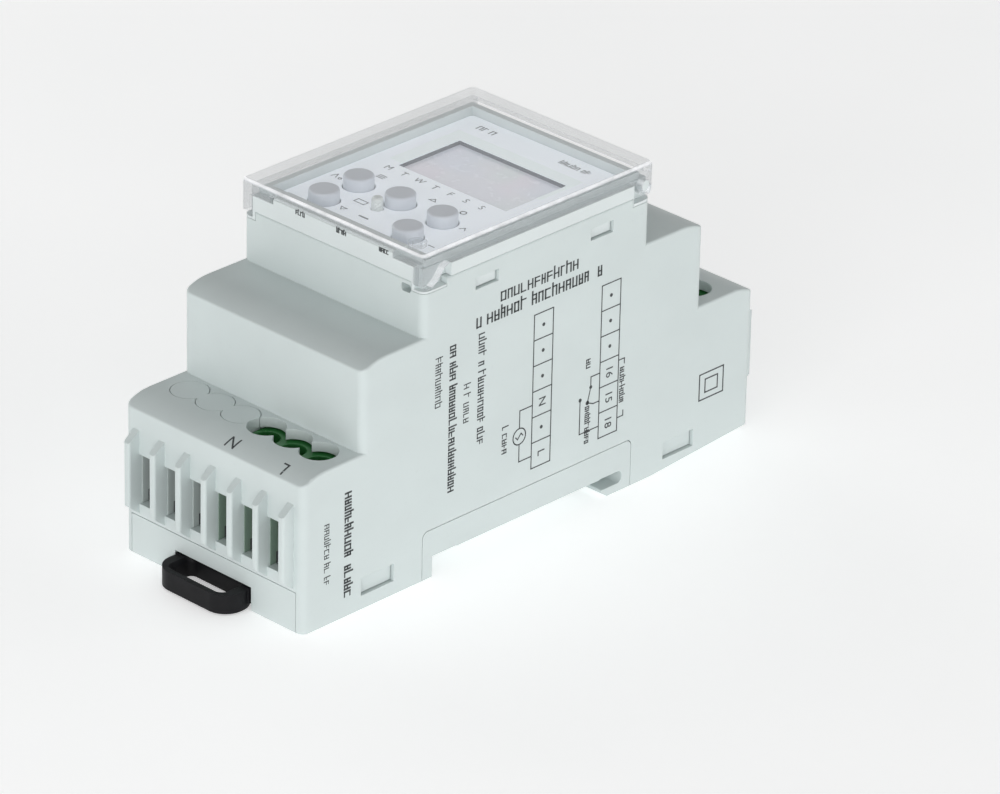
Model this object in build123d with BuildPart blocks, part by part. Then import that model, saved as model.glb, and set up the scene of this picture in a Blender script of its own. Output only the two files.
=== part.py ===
"""Two-module din rail timer: housing, base, fascia, clear cover, clip, keys, terminals and inner parts.

X is the width, +Y the upper end when mounted, +Z points away from the panel.
The origin is the middle of the rail seat: Z is 0 where the rail's lips touch the base.
"""
import os

from build123d import *

# Driving dimensions (mm)
WIDTH = 35.4
END_Y = 45.0            # end faces, either side of the rail's centre line
STEP_Y = 33.9           # wall between terminal shelf and shoulder
BLOCK_Y = 22.5          # wall of the raised block (45 mm cut-out)
FOOT_Z = -3.1
FOOT_RISE = 1.5         # how far the rear foot rises towards its end
SHELF_Z = 20.7
SHELF_DROP = 1.3
SHELF_FLAT_Y = 40.6
SHOULDER_Z = 34.3
SHOULDER_DROP = 1.2
SHOULDER_FLAT_Y = 29.4
SEAM_Z = 42.2           # housing to fascia
LEDGE_Z = 44.2          # fascia ledge under the cover's skirt
PANEL_Z = 43.7          # fascia panel, under the label
LABEL_T = 0.2
RIM_Z = 45.2
COVER_TOP_Z = 47.0
WALL = 1.5
EDGE_R = 1.2
GAP = 0.1               # between snapped-together mouldings
DIP_X = 15.2            # the housing's top edge dips outside this, under the cover's ears

HALF_W = WIDTH / 2
INNER_W = HALF_W - WALL

# Base and rail
END_SEAM_Z = 3.1
STRIP_Y = (-22.0, 20.0)
STRIP_Z = 4.4
RAIL_LIP_Y = 17.5
HOOK_TIP_Y = 13.9
RECESS_Y = (-20.0, 17.9)
SEAT_Y = (-15.2, 13.7)
CLIP_HALF = 7.3
CLIP_TRAVEL = 3.4

# Terminals
PITCH = 5.1
POLES = (-2.5, -1.5, -0.5, 0.5, 1.5, 2.5)
LIVE_POLES = POLES[3:]
BLANK_POLES = POLES[:3]
SCREW_Y = 37.3
HOLE_D = 5.6
FIN_T = 1.15
FIN_OUT = 2.0
SLOT_Z = (5.0, 12.7)
BLOCK_TOP_Z = 18.9
BLOCK_Y0 = 33.3
BLOCK_Y1 = 41.3
BOARD_Z = (5.0, 6.6)

CAGE_Z = (7.0, 12.2)      # at rest; the screw lifts the cage by up to 2 mm
HEAD_Z = (14.65, 16.4)
SHANK_R = 1.35

# Snap windows: Y and Z limits; two for the base's tabs, then two for the fascia's
SNAP_WINDOWS = (
    ((-33.8, -27.5), (-1.0, 1.7)),
    ((26.7, 33.0), (-1.3, 1.4)),
    ((-12.4, -7.9), (38.5, 40.3)),
    ((10.4, 14.9), (38.5, 40.3)),
)

# Relay
RELAY_X = -8.2
RELAY_HALF_X = 6.35
RELAY_Y = (-15.5, 13.5)
RELAY_TOP = 22.3
PIVOT_Y = -12.0
PIVOT_Z = 19.2

# Display and keys
CENTRE_X = -0.9         # the display and the keys sit a little left of the middle
WINDOW_X = (-10.3, 10.7)
WINDOW_Y = (0.5, 12.7)
KEY_R = 2.2
KEY_TOP_Z = 45.7
KEY_HOLE_R = 2.32
KEY_X = (CENTRE_X - 8.2, CENTRE_X, CENTRE_X + 8.2)
KEY_Y = (-8.5, -15.25)
KEYS = {
    "menu": (KEY_X[0], KEY_Y[0]),
    "up": (KEY_X[1], KEY_Y[0]),
    "enter": (KEY_X[2], KEY_Y[0]),
    "down": (KEY_X[0], KEY_Y[1]),
    "manual": (KEY_X[2], KEY_Y[1]),
}
LED_AT = (-2.0, -11.9)
PANEL_UNDER_Z = 42.9
DISPLAY_BOARD_Z = (35.4, 37.0)

# Cover hinge
HINGE_Y = 21.3
HINGE_Z = 43.5
PIN_R = 0.8
PIN_CLEARANCE = 0.05
COVER_WALL = 1.1
COVER_HALF_W = 17.8
COVER_Y = 22.9
SKIRT_Z = 44.4
REAR_SKIRT_Z = 45.3     # high enough to swing past the block's wall when the cover opens


def save(piece, name):
    """Label a finished piece and write it to its own STEP file."""
    piece.part.label = name
    export_step(piece.part, f"parts/{name}.step")


def block(x, y, z, mode=Mode.ADD):
    """A box between two limits on each axis."""
    centre = ((x[0] + x[1]) / 2, (y[0] + y[1]) / 2, (z[0] + z[1]) / 2)
    with Locations(centre):
        Box(x[1] - x[0], y[1] - y[0], z[1] - z[0], mode=mode)


def rod(at, z, radius, mode=Mode.ADD):
    """An upright cylinder at (x, y) between two heights."""
    with Locations((at[0], at[1], (z[0] + z[1]) / 2)):
        Cylinder(radius, z[1] - z[0], mode=mode)


def side_outline():
    """The closed side view of the housing."""
    shoulder_end = (STEP_Y, SHOULDER_Z - SHOULDER_DROP)
    shelf_end = (END_Y, SHELF_Z - SHELF_DROP)
    with BuildSketch() as outline:
        with BuildLine():
            Polyline((0, SEAM_Z), (BLOCK_Y, SEAM_Z), (BLOCK_Y, SHOULDER_Z), (SHOULDER_FLAT_Y, SHOULDER_Z))
            TangentArc((SHOULDER_FLAT_Y, SHOULDER_Z), shoulder_end, tangent=(1, 0))
            Polyline(shoulder_end, (STEP_Y, SHELF_Z), (SHELF_FLAT_Y, SHELF_Z))
            TangentArc((SHELF_FLAT_Y, SHELF_Z), shelf_end, tangent=(1, 0))
            Polyline(shelf_end, (END_Y, FOOT_Z), (0, FOOT_Z))
            mirror(about=Plane.YZ)
        make_face()
    return outline.sketch


def screw_openings(poles, diameter):
    """Overlapping circles over a run of poles, at both ends or as one plug's discs."""
    with Locations(*[(p * PITCH, 0) for p in poles]):
        Circle(diameter / 2)


def foot_slope():
    """The wedge that is cut away below the rear foot, which rises towards its end."""
    with BuildSketch() as wedge:
        with BuildLine():
            Polyline((24, FOOT_Z), (END_Y + 1, FOOT_Z + FOOT_RISE), (END_Y + 1, FOOT_Z - 2),
                     (24, FOOT_Z - 2), close=True)
        make_face()
    return wedge.sketch


def make_fin():
    """One fin of the wire-slot face, standing out along +Y from Y = 0."""
    with BuildPart() as fin:
        with BuildSketch(Plane.YZ):
            with BuildLine():
                Polyline((-0.2, 3.5), (0, 3.5), (FIN_OUT, 5.1), (FIN_OUT, 14.9), (0, 16.4),
                         (-0.2, 16.4), close=True)
            make_face()
        extrude(amount=FIN_T / 2, both=True)
        fillet(fin.edges().filter_by(Axis.Z).group_by(Axis.Y)[-1], 0.4)
    return fin.part


def make_rib():
    """The fin's run inside the end wall: a rib with a slanted lower corner."""
    with BuildPart() as rib:
        with BuildSketch(Plane.YZ):
            with BuildLine():
                Polyline((-1.2, 3.6), (-1.9, 3.6), (-3.0, 9.0), (-3.0, 14.5), (-1.2, 14.5), close=True)
            make_face()
        extrude(amount=FIN_T / 2, both=True)
    return rib.part


def make_housing():
    fin = make_fin()
    rib = make_rib()
    with BuildPart() as housing:
        with BuildSketch(Plane.YZ):
            add(side_outline())
        extrude(amount=HALF_W, both=True)
        fillet(housing.edges().filter_by(Axis.Z), EDGE_R)
        side_edges = housing.faces().filter_by(Axis.X).edges().filter_by(Axis.Z, reverse=True)
        fillet(side_edges.filter_by(lambda e: e.center().Z > SHELF_Z - SHELF_DROP - 0.5), 0.35)
        # Hollow inside, open below for the base and above for the fascia.
        with BuildSketch(Plane.YZ):
            add(side_outline())
            offset(amount=-WALL, kind=Kind.INTERSECTION, mode=Mode.REPLACE)
        extrude(amount=INNER_W, both=True, mode=Mode.SUBTRACT)
        block((-INNER_W, INNER_W), (-END_Y + WALL, END_Y - WALL), (FOOT_Z - 1, 0), Mode.SUBTRACT)
        block((-INNER_W, INNER_W), (-BLOCK_Y + WALL, BLOCK_Y - WALL), (SEAM_Z - 4, SEAM_Z + 1), Mode.SUBTRACT)
        # The base shows below the end walls and along the middle of each side.
        for end in (-1, 1):
            lo, hi = sorted((end * (END_Y - WALL - 0.2), end * (END_Y + 1)))
            block((-16.4, 16.4), (lo, hi), (FOOT_Z - 1, END_SEAM_Z), Mode.SUBTRACT)
        with BuildSketch(Plane.YZ):
            with Locations((sum(STRIP_Y) / 2, STRIP_Z - 10)):
                RectangleRounded(STRIP_Y[1] - STRIP_Y[0], 20, 1.0)
        extrude(amount=HALF_W + 1, both=True, mode=Mode.SUBTRACT)
        with BuildSketch(Plane.YZ):
            add(foot_slope())
        extrude(amount=HALF_W + 1, both=True, mode=Mode.SUBTRACT)
        # Seam dips under the cover's ears.
        for side in (-1, 1):
            lo, hi = sorted((side * DIP_X, side * (HALF_W + 1)))
            block((lo, hi), (-BLOCK_Y - 1, -18.0), (SEAM_Z - 1.3, SEAM_Z + 1), Mode.SUBTRACT)
            block((lo, hi), (18.8, BLOCK_Y + 1), (SEAM_Z - 1.3, SEAM_Z + 1), Mode.SUBTRACT)
        for end in (-1, 1):
            # Wire slots and screw openings.
            for pole in POLES:
                x = pole * PITCH
                half = (PITCH - FIN_T) / 2
                lo, hi = sorted((end * (END_Y - WALL - 0.5), end * (END_Y + 0.5)))
                block((x - half, x + half), (lo, hi), SLOT_Z, Mode.SUBTRACT)
            with BuildSketch(Plane.XY.offset(SHELF_Z + 1)):
                with Locations((0, end * SCREW_Y)):
                    screw_openings(POLES, HOLE_D)
            extrude(amount=-4, mode=Mode.SUBTRACT)
            # Fins outside and ribs inside.
            for i in range(-3, 4):
                turn = Rotation(0, 0, 0) if end > 0 else Rotation(0, 0, 180)
                add((Location((i * PITCH, end * END_Y, 0)) * turn) * fin)
                add((Location((i * PITCH, end * END_Y, 0)) * turn) * rib)
        # Snap windows for the base's and the fascia's tabs.
        for side in (-1, 1):
            lo, hi = sorted((side * (INNER_W - 0.5), side * (HALF_W + 0.5)))
            for y, z in SNAP_WINDOWS:
                block((lo, hi), y, z, Mode.SUBTRACT)
        # Eyelet for a seal beside the cover's front latch.
        with BuildSketch(Plane.XZ.offset(BLOCK_Y + 1)):
            with Locations((14.3, 41.0)):
                RectangleRounded(1.8, 1.2, 0.4)
        extrude(amount=-WALL - 1.5, mode=Mode.SUBTRACT)
    save(housing, "housing")


def make_base():
    with BuildPart() as base:
        # Front foot, rear foot and the bridge over the rail.
        inner = INNER_W - GAP
        block((-inner, inner), (-END_Y + WALL + 0.1, RECESS_Y[0]), (FOOT_Z, 3.0))
        block((-inner, inner), (RECESS_Y[1], END_Y - WALL - 0.1), (FOOT_Z, 3.0))
        block((-16.3, 16.3), (-END_Y, -END_Y + WALL + 0.1), (FOOT_Z, END_SEAM_Z - GAP))
        block((-16.3, 16.3), (END_Y - WALL - 0.1, END_Y), (FOOT_Z, END_SEAM_Z - GAP))
        with BuildSketch(Plane.YZ):
            with Locations((sum(STRIP_Y) / 2, STRIP_Z - GAP - 10)):
                RectangleRounded(STRIP_Y[1] - STRIP_Y[0] - 2 * GAP, 20, 1.0)
        extrude(amount=HALF_W, both=True)
        block((-HALF_W - 1, HALF_W + 1), (-END_Y - 1, END_Y + 1), (FOOT_Z - 20, FOOT_Z), Mode.SUBTRACT)
        # Trays inside the feet and above the bridge.
        block((-15.0, 15.0), (-END_Y + 2.8, RECESS_Y[0] - 1.4), (-1.6, 5), Mode.SUBTRACT)
        block((-15.0, 15.0), (RECESS_Y[1] + 1.4, END_Y - 2.8), (0, 5), Mode.SUBTRACT)
        block((-15.0, 15.0), (RECESS_Y[0] - 1.5, RECESS_Y[1] + 1.5), (1.6, 5), Mode.SUBTRACT)
        # Rail recess with the fixed hook at its upper edge and a land for the rail to sit on.
        with BuildSketch(Plane.YZ):
            with BuildLine():
                Polyline(
                    (RECESS_Y[0], FOOT_Z - 1), (RECESS_Y[0], 0.1), (SEAT_Y[0], 0.1), (SEAT_Y[0], 0),
                    (SEAT_Y[1], 0), (SEAT_Y[1], 0.1), (17.4, 0.1),
                )
                ThreePointArc((17.4, 0.1), (RECESS_Y[1] + 0.3, -0.85), (17.4, -1.8))
                Polyline((17.4, -1.8), (HOOK_TIP_Y + 0.2, -1.8), (HOOK_TIP_Y, -2.2), (15.2, FOOT_Z),
                         (15.2, FOOT_Z - 1), (RECESS_Y[0], FOOT_Z - 1))
            make_face()
        extrude(amount=HALF_W + 1, both=True, mode=Mode.SUBTRACT)
        with BuildSketch(Plane.YZ):
            add(foot_slope())
        extrude(amount=HALF_W + 1, both=True, mode=Mode.SUBTRACT)
        # Clip tunnel: a roof, and lips that hold the clip from below.
        block((-9.2, 9.2), (-END_Y + 0.2, RECESS_Y[0]), (-1.8, 2.0))
        block((-7.6, 7.6), (-END_Y - 1, RECESS_Y[0] + 1), (-2.35, 0.5), Mode.SUBTRACT)
        block((-6.0, 6.0), (-END_Y - 1, RECESS_Y[0] + 1), (FOOT_Z - 1, -2.2), Mode.SUBTRACT)
        block((-7.6, 7.6), (-END_Y - 1, -END_Y + 1.6), (FOOT_Z - 1, 0), Mode.SUBTRACT)
        block((-1.6, 1.6), (-40.6, -39.4), (-1.9, 0.6))
        # Snap tabs that show in the housing's lower windows.
        for side in (-1, 1):
            lo, hi = sorted((side * (inner - 1.0), side * (HALF_W - 0.55)))
            for y, z in SNAP_WINDOWS[:2]:
                block((lo, hi), (y[0] + 0.15, y[1] - 0.15), (z[0] + 0.15, z[1] - 0.15))
        # Posts under the power board.
        for x in (-12.0, 12.0):
            for y in (-30.0, 0.0, 30.0):
                rod((x, y), (-2.0 if y < 0 else -0.2, BOARD_Z[0]), 1.5)
    save(base, "base")


def make_rail_clip():
    with BuildPart() as clip:
        block((-CLIP_HALF, CLIP_HALF), (-END_Y - 0.2, RECESS_Y[0] - 0.4), (-2.15, 0.25))
        # Jaw under the rail's lower lip, with a lead-in nose.
        with BuildSketch(Plane.YZ):
            with BuildLine():
                Polyline((-21, -2.15), (-21, -1.15), (-15.9, -1.15), (-15.9, -1.5), (-17.6, -3.0),
                         (-20.2, -3.0), (-20.6, -2.15), close=True)
            make_face()
        extrude(amount=5.7, both=True)
        # Spring pocket.
        block((-4.6, 4.6), (-41.0, -27.0), (-3, 1), Mode.SUBTRACT)
        # Handle: a rounded loop with a flared screwdriver slot right through it.
        with BuildSketch(Plane.XY.offset(-2.8)):
            with Locations((0, -46.3)):
                RectangleRounded(14.4, 6.6, 3.1)
        extrude(amount=2.9)
        chamfer(clip.faces().filter_by(Axis.Z).group_by(Axis.Z)[0].edges(), 0.3)
        with BuildSketch(Plane.XY.offset(-3)):
            with Locations((0, -46.05)):
                RectangleRounded(10.4, 3.9, 1.0)
        extrude(amount=2.5, mode=Mode.SUBTRACT)
        with BuildSketch(Plane.XY.offset(-0.6)) as throat:
            with Locations((0, -46.05)):
                RectangleRounded(10.4, 3.9, 1.0)
        with BuildSketch(Plane.XY.offset(0.3)) as rim:
            with Locations((0, -46.45)):
                RectangleRounded(11.6, 5.0, 1.4)
        loft(sections=[throat.sketch, rim.sketch], mode=Mode.SUBTRACT)
    save(clip, "rail_clip")


def make_clip_spring():
    turns = 5
    step = 2.2
    start_y = -39.2
    half = 3.2
    with BuildPart() as spring:
        with BuildLine() as path:
            points = [(0, start_y, -0.9)]
            for i in range(turns):
                y = start_y + 0.4 + i * step
                side = half if i % 2 == 0 else -half
                points += [(side, y + 0.3, -0.9), (side, y + step - 0.6, -0.9)]
            points.append((0, -27.3, -0.9))
            FilletPolyline(*points, radius=0.6)
        with BuildSketch(Plane(origin=path.line @ 0, z_dir=path.line % 0)):
            Circle(0.28)
        sweep()
    save(spring, "clip_spring")


def make_fascia():
    with BuildPart() as fascia:
        block((-HALF_W, HALF_W), (-BLOCK_Y, BLOCK_Y), (SEAM_Z + 0.06, LEDGE_Z))
        for side in (-1, 1):
            lo, hi = sorted((side * (DIP_X + GAP), side * HALF_W))
            block((lo, hi), (-BLOCK_Y, -18.1), (SEAM_Z - 1.24, SEAM_Z + 0.1))
            block((lo, hi), (18.9, BLOCK_Y), (SEAM_Z - 1.24, SEAM_Z + 0.1))
        fillet(fascia.edges().filter_by(Axis.Z).filter_by(lambda e: abs(e.center().X) > HALF_W - 0.1
                                                         and abs(e.center().Y) > BLOCK_Y - 0.1), EDGE_R)
        # Raised rim around the panel, and the front lip that carries the printed marks.
        block((-16.3, 16.3), (-20.8, 21.3), (LEDGE_Z - 1, RIM_Z))
        block((-15.9, 15.9), (-BLOCK_Y, -19.6), (LEDGE_Z - 1, 44.6))
        block((-11.7, 11.7), (-BLOCK_Y, -19.6), (LEDGE_Z - 1, 45.6))
        chamfer(fascia.faces().filter_by(Axis.Z).group_by(Axis.Z)[-1].edges().group_by(Axis.Y)[0], 0.35)
        block((-15.3, 15.3), (-19.2, 20.3), (PANEL_Z, RIM_Z + 1), Mode.SUBTRACT)
        # Skirt that plugs into the housing, hollow below the panel.
        block((-INNER_W + GAP, INNER_W - GAP), (-20.9, 20.9), (37.6, SEAM_Z + 0.2))
        block((-15.0, 15.0), (-19.8, 19.8), (37, PANEL_UNDER_Z), Mode.SUBTRACT)
        # Snap tabs for the upper windows.
        for side in (-1, 1):
            lo, hi = sorted((side * 15.2, side * (HALF_W - 0.5)))
            for y, z in SNAP_WINDOWS[2:]:
                block((lo, hi), (y[0] + 0.15, y[1] - 0.15), (z[0] + 0.15, z[1] - 0.15))
        # Corner reliefs for the cover's ears.
        for side in (-1, 1):
            lo, hi = sorted((side * 16.55, side * (HALF_W + 1)))
            block((lo, hi), (-BLOCK_Y - 1, -17.2), (41.3, LEDGE_Z + 1), Mode.SUBTRACT)
            block((lo, hi), (19.0, BLOCK_Y + 1), (41.4, LEDGE_Z + 1), Mode.SUBTRACT)
            lo, hi = sorted((side * 15.8, side * (HALF_W + 1)))
            block((lo, hi), (-BLOCK_Y - 1, -21.6), (41.3, LEDGE_Z + 1), Mode.SUBTRACT)
            # Hinge pin.
            with Locations(Location((side * 16.9, HINGE_Y, HINGE_Z), (0, 90, 0))):
                Cylinder(PIN_R, 1.4)
        # Display window and key holes.
        block(WINDOW_X, WINDOW_Y, (PANEL_UNDER_Z - 1, PANEL_Z + 1), Mode.SUBTRACT)
        for at in KEYS.values():
            rod(at, (PANEL_UNDER_Z - 1, PANEL_Z + 1), KEY_HOLE_R, Mode.SUBTRACT)
        rod(LED_AT, (PANEL_UNDER_Z - 1, PANEL_Z + 1), 0.95, Mode.SUBTRACT)
    save(fascia, "front_fascia")


def make_label():
    with BuildPart() as label:
        block((-15.1, 15.1), (-18.9, 20.1), (PANEL_Z, PANEL_Z + LABEL_T))
        fillet(label.edges().filter_by(Axis.Z), 0.6)
        block((WINDOW_X[0] - 0.1, WINDOW_X[1] + 0.1), (WINDOW_Y[0] - 0.1, WINDOW_Y[1] + 0.1),
              (PANEL_Z - 1, PANEL_Z + 1), Mode.SUBTRACT)
        for at in KEYS.values():
            rod(at, (PANEL_Z - 1, PANEL_Z + 1), KEY_HOLE_R + 0.1, Mode.SUBTRACT)
        rod(LED_AT, (PANEL_Z - 1, PANEL_Z + 1), 1.0, Mode.SUBTRACT)
    save(label, "display_label")


def cover_side():
    """Side view of the cover with its front ear and the round hinge ear."""
    ear = 1.45
    with BuildSketch() as outline:
        with BuildLine():
            Polyline((-COVER_Y, COVER_TOP_Z), (COVER_Y, COVER_TOP_Z), (COVER_Y, REAR_SKIRT_Z),
                     (HINGE_Y + ear, REAR_SKIRT_Z - 0.3), (HINGE_Y + ear, HINGE_Z))
            ThreePointArc((HINGE_Y + ear, HINGE_Z), (HINGE_Y, HINGE_Z - ear), (HINGE_Y - ear, HINGE_Z))
            Polyline((HINGE_Y - ear, HINGE_Z), (HINGE_Y - 2.1, SKIRT_Z), (-17.6, SKIRT_Z),
                     (-18.7, SKIRT_Z - 0.5), (-20.0, 42.3), (-21.0, 41.7), (-22.2, 41.7),
                     (-COVER_Y, 42.2), (-COVER_Y, COVER_TOP_Z))
        make_face()
    return outline.sketch


def make_cover():
    with BuildPart() as cover:
        with BuildSketch(Plane.YZ):
            add(cover_side())
        extrude(amount=COVER_HALF_W, both=True)
        corners = cover.edges().filter_by(Axis.Z).filter_by(lambda e: abs(e.center().Y) > COVER_Y - 0.1)
        fillet(corners, 0.9)
        fillet(cover.faces().filter_by(Axis.Z).group_by(Axis.Z)[-1].edges(), 0.6)
        inner = COVER_HALF_W - COVER_WALL
        block((-inner, inner), (-COVER_Y + COVER_WALL, COVER_Y - COVER_WALL), (40, COVER_TOP_Z - 1.0),
              Mode.SUBTRACT)
        # The front skirt is short in the middle, as a finger recess, and the rear skirt clears the wall.
        block((-12.0, 12.0), (-COVER_Y - 1, -20), (40, 45.85), Mode.SUBTRACT)
        block((-16.0, 16.0), (-COVER_Y - 1, -20), (40, 44.8), Mode.SUBTRACT)
        block((-inner, inner), (20, COVER_Y + 1), (40, REAR_SKIRT_Z), Mode.SUBTRACT)
        # Pivot holes.
        for side in (-1, 1):
            with Locations(Location((side * (inner + COVER_WALL / 2), HINGE_Y, HINGE_Z), (0, 90, 0))):
                Cylinder(PIN_R + PIN_CLEARANCE, COVER_WALL + 1, mode=Mode.SUBTRACT)
        # A hollow moulding boss under the top, near one front corner.
        rod((12.4, -18.5), (COVER_TOP_Z - 1.6, COVER_TOP_Z - 0.5), 1.3)
        rod((12.4, -18.5), (COVER_TOP_Z - 1.7, COVER_TOP_Z - 1.0), 0.7, Mode.SUBTRACT)
    save(cover, "clear_cover")


def make_keys():
    for name, at in KEYS.items():
        with BuildPart() as key:
            rod(at, (PANEL_UNDER_Z - 0.3, KEY_TOP_Z), KEY_R)
            fillet(key.edges().group_by(Axis.Z)[-1], 0.35)
            rod(at, (PANEL_UNDER_Z - 1.2, PANEL_UNDER_Z - 0.2), KEY_R + 0.35)
        save(key, f"{name}_button")
        with BuildPart() as plunger:
            rod(at, (40.1, PANEL_UNDER_Z - 1.25), 1.6)
        save(plunger, f"{name}_switch_plunger")


def make_display_electronics():
    with BuildPart() as board:
        block((-15.4, 15.4), (-20.2, 20.2), DISPLAY_BOARD_Z)
        for x in (-14.0, 14.0):
            for y in (-18.6, 18.6):
                rod((x, y), (DISPLAY_BOARD_Z[0] - 1, DISPLAY_BOARD_Z[1] + 1), 0.9, Mode.SUBTRACT)
    save(board, "display_board")

    with BuildPart() as switches:
        for at in KEYS.values():
            block((at[0] - 2.6, at[0] + 2.6), (at[1] - 2.6, at[1] + 2.6), (DISPLAY_BOARD_Z[1], 40.6))
            rod(at, (39.4, 41), 1.75, Mode.SUBTRACT)
    save(switches, "tactile_switches")

    with BuildPart() as led:
        rod(LED_AT, (DISPLAY_BOARD_Z[1], 41.0), 0.5)
        rod(LED_AT, (40.8, 45.8), 0.85)
        fillet(led.edges().group_by(Axis.Z)[-1], 0.6)
    save(led, "status_led")

    x0, x1 = CENTRE_X - 12.9, CENTRE_X + 12.9
    with BuildPart() as glass:
        block((x0 + 0.1, x1 - 0.1), (-1.4, 18.0), (41.15, 42.0))
        block((x0 + 0.1, x1 - 0.1), (-0.4, 17.0), (42.0, PANEL_UNDER_Z - 0.15))
        # The polariser stands up into the fascia's window.
        block((WINDOW_X[0] + 0.2, WINDOW_X[1] - 0.2), (WINDOW_Y[0] + 0.2, WINDOW_Y[1] - 0.2),
              (PANEL_UNDER_Z - 0.15, PANEL_Z - 0.4))
    save(glass, "lcd_glass")

    with BuildPart() as holder:
        block((x0 - 0.9, x1 + 0.9), (-2.4, 19.0), (DISPLAY_BOARD_Z[1], PANEL_UNDER_Z - 0.05))
        block((x0, x1), (-1.5, 18.1), (DISPLAY_BOARD_Z[1] - 1, PANEL_UNDER_Z + 1), Mode.SUBTRACT)
    save(holder, "lcd_holder")

    with BuildPart() as backlight:
        block((x0 + 0.4, x1 - 0.4), (0.9, 15.4), (DISPLAY_BOARD_Z[1], 41.1))
        fillet(backlight.edges().filter_by(Axis.Z), 0.8)
    save(backlight, "lcd_backlight")

    with BuildPart() as strips:
        block((x0 + 0.8, x1 - 0.8), (-1.3, 0.5), (DISPLAY_BOARD_Z[1], 41.1))
        block((x0 + 0.8, x1 - 0.8), (15.8, 17.8), (DISPLAY_BOARD_Z[1], 41.1))
    save(strips, "contact_strips")

    under = DISPLAY_BOARD_Z[0]
    with BuildPart() as chip:
        block((-1.0, 9.0), (-15.0, -5.0), (under - 1.5, under - 0.1))
        for i in range(11):
            offset_mm = -4.0 + i * 0.8
            for side in (-1, 1):
                block((4 + offset_mm - 0.17, 4 + offset_mm + 0.17),
                      sorted((-10 + side * 4.9, -10 + side * 6.0)), (under - 0.5, under))
                block(sorted((4 + side * 4.9, 4 + side * 6.0)),
                      (-10 + offset_mm - 0.17, -10 + offset_mm + 0.17), (under - 0.5, under))
    save(chip, "microcontroller")

    with BuildPart() as crystal:
        block((-8.0, -5.0), (-13.0, -5.0), (under - 2.4, under))
        fillet(crystal.edges().filter_by(Axis.Y), 1.0)
    save(crystal, "clock_crystal")

    with BuildPart() as battery:
        rod((-3.0, 8.0), (under - 3.3, under - 0.1), 10.0)
        fillet(battery.edges().group_by(Axis.Z)[0], 0.6)
    save(battery, "backup_battery")

    with BuildPart() as headers:
        for i in range(8):
            y = -8.0 + i * 2.54
            block((13.2, 13.84), (y - 0.32, y + 0.32), (BOARD_Z[1], under))
        block((12.3, 14.7), (-9.4, 11.2), (BOARD_Z[1], BOARD_Z[1] + 2.5))
        block((12.3, 14.7), (-9.4, 11.2), (under - 2.5, under))
    save(headers, "board_headers")


def make_power_electronics():
    top = BOARD_Z[1]
    with BuildPart() as board:
        block((-15.6, 15.6), (-41.4, 41.4), BOARD_Z)
        for end in (-1, 1):
            for pole in LIVE_POLES:
                rod((pole * PITCH, end * 34.1), (BOARD_Z[0] - 1, top + 1), 0.8, Mode.SUBTRACT)
    save(board, "power_board")

    with BuildPart() as film:
        block((0.6, 11.6), (-14.0, 4.0), (top + 0.1, top + 15.0))
        fillet(film.edges().filter_by(Axis.Z), 0.8)
    save(film, "mains_capacitor")

    with BuildPart() as cans:
        for at in ((-8.0, 21.5), (1.5, 21.5)):
            rod(at, (top, top + 12.5), 4.0)
            rod(at, (top + 0.8, top + 1.6), 5.0, Mode.SUBTRACT)
            rod(at, (top + 0.7, top + 1.7), 3.7)
    save(cans, "storage_capacitors")

    with BuildPart() as disc:
        with Locations(Location((8.0, -23.0, top + 7.5), (90, 0, 0))):
            Cylinder(5.5, 4.0)
        for x in (5.5, 10.5):
            rod((x, -23.0), (top, top + 4.5), 0.4)
    save(disc, "varistor")

    with BuildPart() as resistor:
        with Locations(Location((-5.0, -24.0, top + 2.4), (0, 90, 0))):
            Cylinder(2.0, 10.0)
        for x in (-11.5, 1.5):
            lo, hi = sorted((x, -5.0))
            block((lo - 0.35, hi + 0.35), (-24.35, -23.65), (top + 2.05, top + 2.75))
            rod((x, -24.0), (top, top + 2.7), 0.35)
    save(resistor, "input_resistor")


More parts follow.
